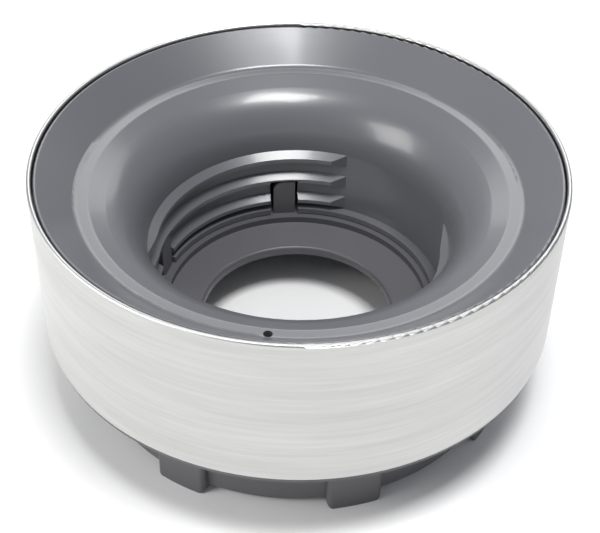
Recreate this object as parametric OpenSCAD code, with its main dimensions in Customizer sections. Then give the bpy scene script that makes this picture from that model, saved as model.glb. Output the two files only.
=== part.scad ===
// Jar base of a kitchen blender: a dished collar with a bayonet bore for the jar,
// a brushed steel band around it, and a base ring with a lugged skirt that stands
// on the motor unit. All sizes are in millimetres, heights are above the lug feet.

/* [Steel band] */
// Outside diameter of the band
band_d = 150; // [146:0.5:160]
// Height of the band's top above the lug feet
overall_h = 73; // [70:0.5:80]
// Height of the band itself
band_h = 47.6; // [42:0.2:50]
// Thickness of the steel sheet
sheet_t = 0.6; // [0.4:0.1:0.8]
// Depth of the hem folded inwards at the top
hem_h = 5; // [3:0.5:7]
// Open space inside the folded hem
hem_gap = 0.1; // [0.1:0.05:0.3]

/* [Dish] */
// Gap between the hem and the rim of the dish
rim_gap = 0.4; // [0.2:0.1:0.8]
// How far the rim of the dish lies below the top of the band
rim_drop = 0.8; // [0.4:0.1:1.5]
// Rounding of the dish's rim
rim_round = 0.5; // [0.3:0.1:0.8]
// Wall thickness of the dish and the bore
dish_wall = 2.4; // [2:0.1:2.8]
// Depth from the rim down to the flat shelf
dish_depth = 8.75; // [7.5:0.25:10]
// Radius at which the shelf meets the valley
shelf_out_r = 61.8; // [61:0.1:63]
// Radius of the shelf's inner edge
shelf_in_r = 59.2; // [58:0.1:60]
// Fillet between the shelf and the sloping flange
valley_round = 2.6; // [1.5:0.1:4]
// Rounding of the shelf's inner edge
edge_round = 1.2; // [0.6:0.1:2]
// Radius of the large round that leads into the bore
shoulder_round = 18.5; // [17:0.5:20]
// How far the crown of that round lies below the shelf
shoulder_drop = 0.5; // [0.3:0.1:1]
// Diameter of the drain hole
drain_d = 2.4; // [1.6:0.2:3]
// Radius at which the drain hole lies
drain_r = 61.2; // [60.5:0.1:61.5]
// Direction of the drain hole
drain_angle = -96.5; // [-180:0.5:180]
// Thickness of the rim wall inside the band
rim_wall = 2; // [1.6:0.1:2.4]
// Depth of the rim wall below the hem
rim_wall_h = 12; // [8:0.5:15]
// Thickness of the webs
web_t = 1.6; // [1.2:0.1:2]
// Height of the webs' lower edge
web_z = 38; // [34:0.5:42]

/* [Jar bore] */
// Diameter of the bore's smooth wall
bore_d = 87.6; // [86:0.2:89]
// Width of the lip at the foot of the bore
lip_w = 2.8; // [2:0.1:3.2]
// Thickness of the lip
lip_t = 1.8; // [1.4:0.1:2.2]
// Seam between the lip and the base ring
lip_seam = 0.3; // [0.2:0.05:0.4]

/* [Bayonet ridges] */
// Number of ridges above one another
ridge_count = 3; // [2:1:3]
// Distance between the ridges
ridge_pitch = 8.1; // [7.6:0.1:8.4]
// Height of the top ridge's upper root above the collar's foot
ridge_top = 23.4; // [22.5:0.1:24]
// How far the ridges stand into the bore
ridge_depth = 2.4; // [1.6:0.1:2.8]
// Fall of the upper flank
ridge_fall = 1.7; // [1:0.1:2.2]
// Height of the crest
ridge_crest = 1.3; // [0.8:0.1:1.6]
// Rise of the lower flank
ridge_rise = 1.4; // [1:0.1:1.6]
// Direction of the first end of a ridge
ridge_start = 70.2; // [60:0.2:80]
// Angle that a ridge takes up
ridge_sweep = 120.8; // [110:0.2:130]
// Angle over which the first end runs out
ridge_run_in = 5.9; // [4:0.1:9]
// Angle over which the other end runs out
ridge_run_out = 13.5; // [8:0.1:16]

/* [Key tongues] */
// Width of a tongue
tongue_w = 6.9; // [5.5:0.1:8]
// Thickness of a tongue
tongue_t = 2.4; // [1.8:0.1:2.8]
// Height of a tongue above its seat
tongue_h = 12.4; // [10:0.1:12.6]
// How far a tongue's face lies behind the ridge crests
tongue_back = 0.2; // [0.1:0.05:0.5]
// Angle between a tongue and the middle of a ridge
tongue_angle = 33.9; // [30:0.1:36]
// Rounding of a tongue's leading corner
tongue_round = 3.2; // [1.5:0.1:4]
// Gap at each side of a tongue
slot_gap = 1; // [0.6:0.1:1.4]
// Gap above a tongue
slot_head = 0.6; // [0.3:0.1:0.8]

/* [Base ring] */
// Diameter of the opening in the floor
opening_d = 57.6; // [54:0.2:60]
// Height of the floor's underside
floor_z = 14.2; // [12:0.2:15]
// Thickness of the floor at the opening
floor_t = 2.8; // [2.4:0.1:3.2]
// Rise of the floor towards its outer edge
floor_rise = 2.1; // [1:0.1:2.4]
// Rounding of the opening's upper edge
opening_round = 1.1; // [0.6:0.1:1.4]
// Diameter of the recessed floor
floor_d = 78.4; // [76:0.2:80]
// Height of the seat that carries the collar
seat_z = 21.2; // [20.6:0.1:21.6]
// Wall thickness of the base ring
base_wall = 2.4; // [2:0.1:2.8]
// Seam between the band and the flange below it
band_seam = 0.3; // [0.2:0.05:0.5]
// Thickness of the flange at its edge
flange_edge = 1.2; // [0.8:0.1:1.6]
// How far the flange's edge lies inside the band's outside
flange_inset = 0.4; // [0.2:0.1:0.8]
// Height of the rib that centres the band
centring_h = 3; // [2:0.5:5]
// Running gap between parts that slide together
fit_gap = 0.3; // [0.2:0.05:0.4]

/* [Coupling skirt] */
// Outside diameter of the skirt
skirt_d = 124.6; // [120:0.2:126]
// Height of the skirt's lower edge
skirt_z = 1.6; // [1:0.1:2.5]
// Number of lugs around the skirt
lug_count = 8; // [4:4:8]
// Width of a lug
lug_w = 15.4; // [12:0.1:18]
// How far a lug stands out from the skirt
lug_out = 2.3; // [1.5:0.1:3]
// Rounding of a lug's upright edges
lug_edge = 1.5; // [0.8:0.1:1.8]
// Rounding of a lug's lower corners
lug_corner = 1.8; // [1:0.1:2.4]
// Direction of the first lug
lug_angle = 15.4; // [0:0.2:22]
// Height of the stiffening ribs' lower edge at the skirt
rib_z = 10; // [8:0.5:12]
// Thickness of the stiffening ribs
rib_t = 1.6; // [1.2:0.1:2]

/* [Screws] */
// Number of screws
screw_count = 4; // [4:4:8]
// Radius of the screw circle
screw_r = 54; // [53:0.5:55]
// Diameter of the screw's thread
screw_d = 3.5; // [3:0.5:4]
// Length of the screw below its head
screw_l = 16; // [12:1:20]
// Diameter of the screw's head
head_d = 7; // [6:0.5:8]
// Height of the screw's head
head_h = 2.5; // [2:0.1:3]
// Plastic left under a screw's head
head_seat = 4.4; // [3.5:0.1:5]

/* [Hidden] */
$fn = 20;
turned_fn = 72;
shoulder_fn = 40;

// Band
band_r = band_d/2;
band_in = band_r - sheet_t;
band_z = overall_h - band_h;
hem_t = 2*sheet_t + hem_gap;
hem_in = band_r - hem_t;
hem_foot = overall_h - hem_h;

// Dish: the centres of its rounds, and the lines that touch them
rim_r = hem_in - rim_gap;
rim_z = overall_h - rim_drop;
shelf_z = rim_z - dish_depth;
bore_r = bore_d/2;
tube_r = bore_r + dish_wall;
rim_c = [rim_r - rim_round, rim_z - rim_round];
valley_c = [shelf_out_r, shelf_z + valley_round];
shoulder_c = [bore_r + shoulder_round, shelf_z - shoulder_drop - shoulder_round];
rim_reach = rim_c - valley_c;
flange_a = atan2(rim_reach[1], rim_reach[0]) + asin((valley_round + rim_round)/norm(rim_reach));
flange_n = [sin(flange_a), -cos(flange_a)];
edge_p = [shelf_in_r, shelf_z];
edge_reach = edge_p - shoulder_c;
cone_a = atan2(edge_reach[1], edge_reach[0]) + acos(shoulder_round/norm(edge_reach));
cone_dir = [sin(cone_a), -cos(cone_a)];
edge_cut = edge_round*tan((cone_a - 90)/2);
edge_c = [shelf_in_r + edge_cut, shelf_z - edge_round];
flange_p = valley_c + valley_round*flange_n;
step_r = band_in - fit_gap;
step_z = hem_foot - fit_gap;

// Bore, ridges and tongues
crest_r = bore_r - ridge_depth;
ridge_turn = 180;
slot_w = tongue_w + 2*slot_gap;
slot_z = seat_z + tongue_h + slot_head;
tongue_r = crest_r + tongue_back;
ridge_mid = ridge_start + ridge_sweep/2;
TONGUES = [for (turn = [0, ridge_turn], side = [-1, 1]) ridge_mid + turn + side*tongue_angle];

// Base ring
opening_r = opening_d/2;
floor_r = floor_d/2;
floor_edge_z = floor_z + floor_t + floor_rise;
deck_z = band_z - band_seam;
deck_in = tube_r + fit_gap;
flange_r = band_r - flange_inset;
skirt_r = skirt_d/2;
skirt_in = skirt_r - base_wall;
centring_r = band_in - fit_gap;
centring_t = 1.8;

// Screws
boss_wall = 1.8;
web_spread = 1/6;
head_gap = 0.4;
thread_gap = 0.05;
hole_gap = 0.35;
head_z = deck_z - head_seat;
under_round = shoulder_round - dish_wall;
tower_top = shoulder_c[1] + sqrt(pow(under_round, 2) - pow(shoulder_c[0] - screw_r, 2));
boss_z = head_z - head_h - head_gap;
recess_w = 1;
recess_l = 4;
recess_depth = 1.3;

crease = 3;
slack = 0.01;
far = 200;

// Unit direction at an angle
function dir(a) = [cos(a), sin(a)];

// Slice of a disc in a profile: centre, radius, first and last angle
module slice(c, r, a0, a1, fn = $fn) {
    intersection() {
        translate(c) circle(r = r, $fn = fn);
        polygon([c, c + far*dir(a0), c + 2*far*dir((a0 + a1)/2), c + far*dir(a1)]);
    }
}

// Height of the flange at a radius, a depth t below its upper surface
function flange_z(r, t) =
    flange_p[1] + t*flange_n[1] + (r - flange_p[0] - t*flange_n[0])*tan(flange_a);

module steel_band() {
    fold_c = [band_r - hem_t/2, overall_h - hem_t/2];
    color("silver")
    rotate_extrude($fn = turned_fn)
        difference() {
            union() {
                translate([hem_in, hem_foot]) square([hem_t, fold_c[1] - hem_foot]);
                translate([band_in, band_z]) square([sheet_t, fold_c[1] - band_z]);
                translate(fold_c) circle(r = hem_t/2);
            }
            translate([fold_c[0] - hem_gap/2, hem_foot - 1])
                square([hem_gap, fold_c[1] - hem_foot + 1]);
            translate(fold_c) circle(r = hem_gap/2);
        }
}

// Everything under the collar's upper surface, down to its foot
module collar_top() {
    polygon([[bore_r, seat_z], [bore_r, shoulder_c[1]], shoulder_c,
             shoulder_c + shoulder_round*dir(cone_a), edge_p - edge_cut*cone_dir, edge_c,
             [edge_c[0], shelf_z], [shelf_out_r, shelf_z], flange_p, rim_c - rim_round*flange_n,
             rim_c, [rim_r, rim_c[1]], [rim_r, step_z], [step_r, step_z], [step_r, seat_z]]);
    slice(shoulder_c, shoulder_round, cone_a - 10, 190, shoulder_fn);
    translate(edge_c) circle(r = edge_round);
    translate(rim_c) circle(r = rim_round);
}

// The hollow under the collar
module collar_hollow() {
    t = dish_wall;
    touch_p = shoulder_c + under_round*dir(cone_a);
    cone_p = shoulder_c + under_round*dir(cone_a + crease);
    corner_r = touch_p[0] + (shelf_z - t - touch_p[1])*cone_dir[0]/cone_dir[1];
    wall_r = step_r - rim_wall;
    difference() {
        union() {
            polygon([[tube_r, 0], [tube_r, shoulder_c[1]], shoulder_c, cone_p,
                     [corner_r, shelf_z - t], [shelf_out_r, shelf_z - t], flange_p + t*flange_n,
                     [rim_r - rim_wall, flange_z(rim_r - rim_wall, t)],
                     [wall_r, step_z - rim_wall], [wall_r, 0]]);
            slice(shoulder_c, under_round, cone_a - 10, 190, shoulder_fn);
            translate([wall_r - 1, 0]) square([far, step_z - rim_wall_h]);
        }
        translate(valley_c) circle(r = valley_round + t);
    }
}

// Cross-section of the collar: rim, flange, valley, shelf, shoulder, bore and lip
module collar_section() {
    difference() {
        collar_top();
        translate(valley_c) circle(r = valley_round);
        collar_hollow();
    }
    translate([bore_r - lip_w, seat_z + lip_seam])
        square([lip_w + dish_wall/2, lip_t]);
}

// Outline under the dish, its upper edge halfway through the wall
module under_dish(low_z) {
    half = dish_wall/2;
    wall_r = step_r - rim_wall/2;
    polygon(concat(
        [[bore_r + half, low_z]],
        [for (i = [0:3]) shoulder_c + (shoulder_round - half)*dir(180 + (cone_a - 180)*i/3)],
        [[shelf_in_r, shelf_z - half], [shelf_out_r, shelf_z - half],
         [rim_r - rim_wall/2, flange_z(rim_r - rim_wall/2, half)], [wall_r, step_z - rim_wall],
         [wall_r, step_z - rim_wall_h + rim_wall], [rim_r - 2*dish_wall, low_z]]));
}

// Pairs of webs under the dish, between the screw towers
module webs() {
    for (i = [0:screw_count - 1], side = [-1, 1])
        rotate([90, 0, lug_angle + 360*(i + 0.5 + side*web_spread)/screw_count])
            translate([0, 0, -web_t/2])
                linear_extrude(web_t) under_dish(web_z);
}

// Towers that take the screws, grown out of the shoulder's underside
module screw_towers() {
    at_screws() translate([0, 0, deck_z])
        cylinder(r = screw_d/2 + boss_wall, h = tower_top - deck_z);
}

module at_screws() {
    for (i = [0:screw_count - 1])
        rotate(lug_angle + 360*i/screw_count) translate([screw_r, 0, 0]) children();
}

// Plan of the bore's two ridged sectors, narrower at the crest than at the wall
module ridge_plan() {
    p0 = bore_r*dir(ridge_start);
    p1 = crest_r*dir(ridge_start + ridge_run_in);
    q0 = bore_r*dir(ridge_start + ridge_sweep);
    q1 = crest_r*dir(ridge_start + ridge_sweep - ridge_run_out);
    polygon([p0 + (p1 - p0)*2, p0 - (p1 - p0), far*dir(ridge_mid - 20),
             far*dir(ridge_mid + 20), q0 - (q1 - q0), q0 + (q1 - q0)*2]);
}

module ridges() {
    top_z = seat_z + ridge_top;
    root = dish_wall/2;
    lean = ridge_fall/ridge_depth;
    intersection() {
        rotate_extrude($fn = turned_fn)
            for (i = [0:ridge_count - 1])
                translate([bore_r, top_z - i*ridge_pitch])
                    polygon([[root, root*lean], [-ridge_depth, -ridge_fall],
                             [-ridge_depth, -ridge_fall - ridge_crest],
                             [0, -ridge_fall - ridge_crest - ridge_rise],
                             [root, -ridge_fall - ridge_crest - ridge_rise]]);
        translate([0, 0, seat_z])
            linear_extrude(ridge_top + dish_wall)
                for (turn = [0, ridge_turn]) rotate(turn) ridge_plan();
    }
}

module dish_collar() {
    color("dimgray")
    difference() {
        union() {
            rotate_extrude($fn = turned_fn) collar_section();
            webs();
            screw_towers();
            ridges();
        }
        for (a = TONGUES)
            rotate(a) translate([crest_r - ridge_depth, -slot_w/2, seat_z - 1])
                cube([tube_r - crest_r + 2*ridge_depth, slot_w, slot_z - seat_z + 1]);
        rotate(drain_angle) translate([drain_r, 0, shelf_z - 2*dish_wall])
            cylinder(d = drain_d, h = 4*dish_wall);
        at_screws() translate([0, 0, deck_z - 1])
            cylinder(r = screw_d/2 + thread_gap, h = screw_l - head_seat + 3);
    }
}

// Cross-section of the base ring: floor, seat, deck with its flange, and skirt
module base_section() {
    opening_c = [opening_r + opening_round, floor_z + floor_t - opening_round];
    low_seat = seat_z - base_wall;
    low_deck = deck_z - base_wall;
    translate(opening_c) circle(r = opening_round);
    polygon([[opening_r, floor_z], [opening_r, opening_c[1]], opening_c,
             [opening_c[0], floor_z + floor_t], [floor_r, floor_edge_z], [floor_r, seat_z],
             [deck_in, seat_z], [deck_in, deck_z], [flange_r, deck_z],
             [flange_r, deck_z - flange_edge], [skirt_r + base_wall, low_deck], [skirt_r, low_deck],
             [skirt_r, skirt_z + base_wall/2], [skirt_in, skirt_z + base_wall/2],
             [skirt_in, low_deck], [deck_in + base_wall, low_deck],
             [deck_in + base_wall, low_seat], [floor_r + base_wall, low_seat],
             [floor_r + base_wall, floor_z]]);
    translate([skirt_r - base_wall/2, skirt_z + base_wall/2]) circle(r = base_wall/2);
    translate([centring_r - centring_t, deck_z - slack])
        square([centring_t, centring_h + slack]);
}

// Plan of a lug, its outer face concentric with the skirt and its edges rounded
module lug_plan(w, r_out, edge) {
    edge_x = w/2 - edge;
    edge_y = sqrt(pow(r_out - edge, 2) - edge_x*edge_x);
    touch_x = edge_x*r_out/(r_out - edge);
    intersection() {
        circle(r = r_out, $fn = turned_fn);
        translate([-touch_x, skirt_in - edge]) square([2*touch_x, r_out]);
    }
    translate([-w/2, skirt_in - edge]) square([w, edge_y - skirt_in + edge]);
    for (side = [-1, 1]) translate([side*edge_x, edge_y]) circle(r = edge);
}

// Face view of a lug, with rounded lower corners
module lug_face(w, h, corner) {
    translate([-w/2, corner]) square([w, h - corner]);
    translate([-w/2 + corner, 0]) square([w - 2*corner, h]);
    for (side = [-1, 1]) translate([side*(w/2 - corner), corner]) circle(r = corner);
}

module lug() {
    top_z = deck_z - base_wall/2;
    intersection() {
        linear_extrude(top_z) lug_plan(lug_w, skirt_r + lug_out, lug_edge);
        translate([0, far/2, 0]) rotate([90, 0, 0])
            linear_extrude(far/2 - skirt_in - base_wall/2)
                lug_face(lug_w + 4*slack, top_z + 1, lug_corner);
    }
}

module base_ribs() {
    for (i = [0:lug_count - 1])
        rotate([90, 0, lug_angle + 360*(i + 0.5)/lug_count])
            translate([0, 0, -rib_t/2])
                linear_extrude(rib_t)
                    polygon([[floor_r + base_wall/2, floor_z + base_wall/2], [skirt_in + base_wall/2, rib_z],
                             [skirt_in + base_wall/2, deck_z - base_wall/2],
                             [deck_in + base_wall/2, deck_z - base_wall/2],
                             [deck_in + base_wall/2, seat_z - base_wall/2],
                             [floor_r + base_wall/2, seat_z - base_wall/2]]);
}

module tongue() {
    translate([tongue_r + tongue_t, 0, seat_z]) rotate([90, 0, -90])
        linear_extrude(tongue_t) {
            translate([-tongue_w/2, -base_wall/2])
                square([tongue_w, tongue_h - tongue_round + base_wall/2]);
            translate([-tongue_w/2 + tongue_round, 0])
                square([tongue_w - tongue_round, tongue_h]);
            translate([-tongue_w/2 + tongue_round, tongue_h - tongue_round])
                circle(r = tongue_round);
        }
}

module base_ring() {
    color("slategray")
    difference() {
        union() {
            rotate_extrude($fn = turned_fn) base_section();
            for (i = [0:lug_count - 1])
                rotate(lug_angle - 90 + 360*i/lug_count) lug();
            base_ribs();
            for (a = TONGUES) rotate(a) tongue();
            at_screws() translate([0, 0, boss_z])
                cylinder(r = head_d/2 + head_gap + boss_wall, h = deck_z - base_wall/2 - boss_z);
        }
        for (i = [0:lug_count - 1])
            rotate(lug_angle + 360*i/lug_count)
                translate([skirt_in - 1, -lug_w/2 + base_wall, -1])
                    cube([lug_out + 1, lug_w - 2*base_wall, deck_z - 1.3*base_wall + 1]);
        at_screws() {
            translate([0, 0, boss_z - 1])
                cylinder(r = head_d/2 + head_gap, h = head_z - boss_z + 1);
            translate([0, 0, head_z - 1])
                cylinder(r = screw_d/2 + hole_gap, h = head_seat + 2);
        }
    }
}

// Self-tapping screw, its head down and a cross recess in it
module screw() {
    difference() {
        union() {
            translate([0, 0, head_z - head_h]) cylinder(d = head_d, h = head_h);
            translate([0, 0, head_z - slack]) cylinder(d = screw_d, h = screw_l + slack);
        }
        for (turn = [0, 90])
            rotate(turn) translate([-recess_l/2, -recess_w/2, head_z - head_h - 1])
                cube([recess_l, recess_w, recess_depth + 1]);
    }
}

module housing_screws() {
    color("gainsboro") at_screws() screw();
}

steel_band();
dish_collar();
base_ring();
housing_screws();
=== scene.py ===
import math
import bpy
from mathutils import Matrix, Vector

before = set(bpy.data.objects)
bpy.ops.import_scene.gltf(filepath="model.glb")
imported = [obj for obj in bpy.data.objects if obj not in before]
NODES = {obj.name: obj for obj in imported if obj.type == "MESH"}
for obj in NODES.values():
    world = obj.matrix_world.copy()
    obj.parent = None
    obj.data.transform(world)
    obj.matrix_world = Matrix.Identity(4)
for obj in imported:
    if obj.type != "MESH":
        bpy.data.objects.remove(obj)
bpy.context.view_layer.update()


# Materials

def new_material(name):
    m = bpy.data.materials.new(name)
    m.use_nodes = True
    nt = m.node_tree
    nt.nodes.clear()
    out = nt.nodes.new("ShaderNodeOutputMaterial")
    bsdf = nt.nodes.new("ShaderNodeBsdfPrincipled")
    nt.links.new(bsdf.outputs[0], out.inputs["Surface"])
    return m, nt, bsdf


def node(nt, kind, **values):
    n = nt.nodes.new(kind)
    for key, value in values.items():
        setattr(n, key, value)
    return n


def math_node(nt, op, a, b=None, c=None):
    n = node(nt, "ShaderNodeMath", operation=op)
    for i, x in enumerate((a, b, c)):
        if x is None:
            continue
        if isinstance(x, (int, float)):
            n.inputs[i].default_value = x
        else:
            nt.links.new(x, n.inputs[i])
    return n.outputs[0]


def ramp(nt, x, stops):
    n = node(nt, "ShaderNodeValToRGB")
    e = n.color_ramp.elements
    while len(e) < len(stops):
        e.new(0.5)
    for item, (pos, v) in zip(e, stops):
        item.position = pos
        item.color = (v, v, v, 1) if isinstance(v, (int, float)) else (*v, 1)
    nt.links.new(x, n.inputs[0])
    return n.outputs[0]


def round_coordinates(nt, around, along, across):
    """Object position turned into (angle, height, radius), each times a factor in metres."""
    geo = node(nt, "ShaderNodeTexCoord")
    sep = node(nt, "ShaderNodeSeparateXYZ")
    nt.links.new(geo.outputs["Object"], sep.inputs[0])
    x, y, z = sep.outputs
    # sine and cosine of the angle keep the pattern whole where the angle starts again
    flat = node(nt, "ShaderNodeCombineXYZ")
    nt.links.new(x, flat.inputs[0])
    nt.links.new(y, flat.inputs[1])
    unit = node(nt, "ShaderNodeVectorMath", operation="NORMALIZE")
    nt.links.new(flat.outputs[0], unit.inputs[0])
    size = node(nt, "ShaderNodeVectorMath", operation="LENGTH")
    nt.links.new(flat.outputs[0], size.inputs[0])
    u = node(nt, "ShaderNodeSeparateXYZ")
    nt.links.new(unit.outputs[0], u.inputs[0])
    out = node(nt, "ShaderNodeCombineXYZ")
    nt.links.new(math_node(nt, "MULTIPLY", u.outputs[0], around), out.inputs[0])
    nt.links.new(math_node(nt, "MULTIPLY", u.outputs[1], around), out.inputs[1])
    lift = math_node(nt, "MULTIPLY", z, along)
    side = math_node(nt, "MULTIPLY", size.outputs["Value"], across)
    nt.links.new(math_node(nt, "ADD", lift, side), out.inputs[2])
    return out.outputs[0]


def noise(nt, vector, scale, detail=2.0, rough=0.5):
    n = node(nt, "ShaderNodeTexNoise")
    n.inputs["Scale"].default_value = scale
    n.inputs["Detail"].default_value = detail
    n.inputs["Roughness"].default_value = rough
    nt.links.new(vector, n.inputs["Vector"])
    return n.outputs[0]


def bump(nt, bsdf, height, strength, distance):
    n = node(nt, "ShaderNodeBump")
    n.inputs["Strength"].default_value = strength
    n.inputs["Distance"].default_value = distance
    nt.links.new(height, n.inputs["Height"])
    nt.links.new(n.outputs[0], bsdf.inputs["Normal"])


def brushed_steel():
    m, nt, b = new_material("band_steel")
    b.inputs["Metallic"].default_value = 1.0
    b.inputs["Anisotropic"].default_value = 0.75
    fine = noise(nt, round_coordinates(nt, 2.2, 900, 900), 1.0, 3.0, 0.6)
    broad = noise(nt, round_coordinates(nt, 1.2, 160, 160), 1.0, 2.0, 0.5)
    tone = math_node(nt, "ADD", math_node(nt, "MULTIPLY", fine, 0.6), math_node(nt, "MULTIPLY", broad, 0.4))
    nt.links.new(ramp(nt, tone, [(0.3, (0.47, 0.47, 0.46)), (0.7, (0.60, 0.60, 0.59))]),
                 b.inputs["Base Color"])
    rough = node(nt, "ShaderNodeMapRange")
    rough.inputs["To Min"].default_value = 0.30
    rough.inputs["To Max"].default_value = 0.42
    nt.links.new(fine, rough.inputs["Value"])
    nt.links.new(rough.outputs[0], b.inputs["Roughness"])
    tangent = node(nt, "ShaderNodeTangent", direction_type="RADIAL", axis="Z")
    nt.links.new(tangent.outputs[0], b.inputs["Tangent"])
    bump(nt, b, fine, 0.12, 0.00004)
    return m


def moulded(name, colour, rough, coat, grain):
    m, nt, b = new_material(name)
    b.inputs["Base Color"].default_value = (*colour, 1)
    b.inputs["Roughness"].default_value = rough
    b.inputs["Coat Weight"].default_value = coat
    b.inputs["Coat Roughness"].default_value = 0.12
    if grain:
        geo = node(nt, "ShaderNodeTexCoord")
        bump(nt, b, noise(nt, geo.outputs["Object"], 2200, 2.0), grain, 0.00005)
    return m


def zinc():
    m, nt, b = new_material("screw_steel")
    b.inputs["Base Color"].default_value = (0.62, 0.63, 0.64, 1)
    b.inputs["Metallic"].default_value = 1.0
    b.inputs["Roughness"].default_value = 0.32
    return m


MATERIALS = {
    "steel_band": brushed_steel(),
    "dish_collar": moulded("collar_plastic", (0.105, 0.107, 0.118), 0.3, 0.25, 0.0),
    "base_ring": moulded("ring_plastic", (0.085, 0.085, 0.092), 0.42, 0.0, 0.15),
    "housing_screws": zinc(),
}

for name, obj in NODES.items():
    obj.data.materials.clear()
    obj.data.materials.append(MATERIALS[name])


# Floor

def floor():
    bpy.ops.mesh.primitive_plane_add(size=8, location=(0, 0, 0))
    plane = bpy.context.object
    plane.name = "floor"
    m, nt, b = new_material("floor")
    b.inputs["Base Color"].default_value = (0.8, 0.8, 0.8, 1)
    b.inputs["Roughness"].default_value = 0.9
    b.inputs["Specular IOR Level"].default_value = 0.0
    plane.data.materials.append(m)


floor()


# Light

world = bpy.data.worlds.new("world")
bpy.context.scene.world = world
world.use_nodes = True
wt = world.node_tree
wt.nodes.clear()
w_out = wt.nodes.new("ShaderNodeOutputWorld")
w_bg = wt.nodes.new("ShaderNodeBackground")
wt.links.new(w_bg.outputs[0], w_out.inputs[0])
w_bg.inputs["Color"].default_value = (0.93, 0.95, 1.0, 1)
w_bg.inputs["Strength"].default_value = 0.45


def softbox(name, place, aim, size, power, colour=(1, 1, 1)):
    data = bpy.data.lights.new(name, "AREA")
    data.shape = "RECTANGLE"
    data.size, data.size_y = size
    data.energy = power
    data.color = colour
    lamp = bpy.data.objects.new(name, data)
    bpy.context.collection.objects.link(lamp)
    lamp.location = place
    lamp.rotation_euler = (Vector(aim) - Vector(place)).to_track_quat("-Z", "Y").to_euler()
    return lamp


softbox("top", (0.10, -0.15, 0.95), (0, 0, 0.05), (0.34, 0.26), 8.0)
softbox("left", (-0.9, -0.35, 0.45), (0, 0, 0.04), (0.5, 0.8), 9.0, (1, 0.99, 0.96))
softbox("back", (0.1, 1.0, 0.75), (0, 0, 0.06), (1.2, 0.5), 6.0)


# Camera, at the photograph's viewing angle

UNIT = 0.0737
FOCUS = 1300 / 600
TILT = math.radians(40.51)
ROLL = math.radians(-1.07)
DISTANCE = 4.898
SHIFT = (-0.0015, 0.399)

right = Vector((math.cos(ROLL), -math.sin(ROLL) * math.sin(TILT), -math.sin(ROLL) * math.cos(TILT)))
up = Vector((math.sin(ROLL), math.cos(ROLL) * math.sin(TILT), math.cos(ROLL) * math.cos(TILT)))
ahead = Vector((0, math.cos(TILT), -math.sin(TILT)))
place = Vector((0, 0, 0.0722)) - UNIT * (SHIFT[0] * right + SHIFT[1] * up + DISTANCE * ahead)
cam_data = bpy.data.cameras.new("camera")
cam_data.sensor_fit = "HORIZONTAL"
cam_data.sensor_width = 36
cam_data.lens = 36 * FOCUS
cam_data.clip_start = 0.01
cam = bpy.data.objects.new("camera", cam_data)
bpy.context.collection.objects.link(cam)
turn = Matrix((right, up, -ahead)).transposed()
cam.matrix_world = Matrix.Translation(place) @ turn.to_4x4()
bpy.context.scene.camera = cam

bpy.context.scene.view_settings.view_transform = "Standard"
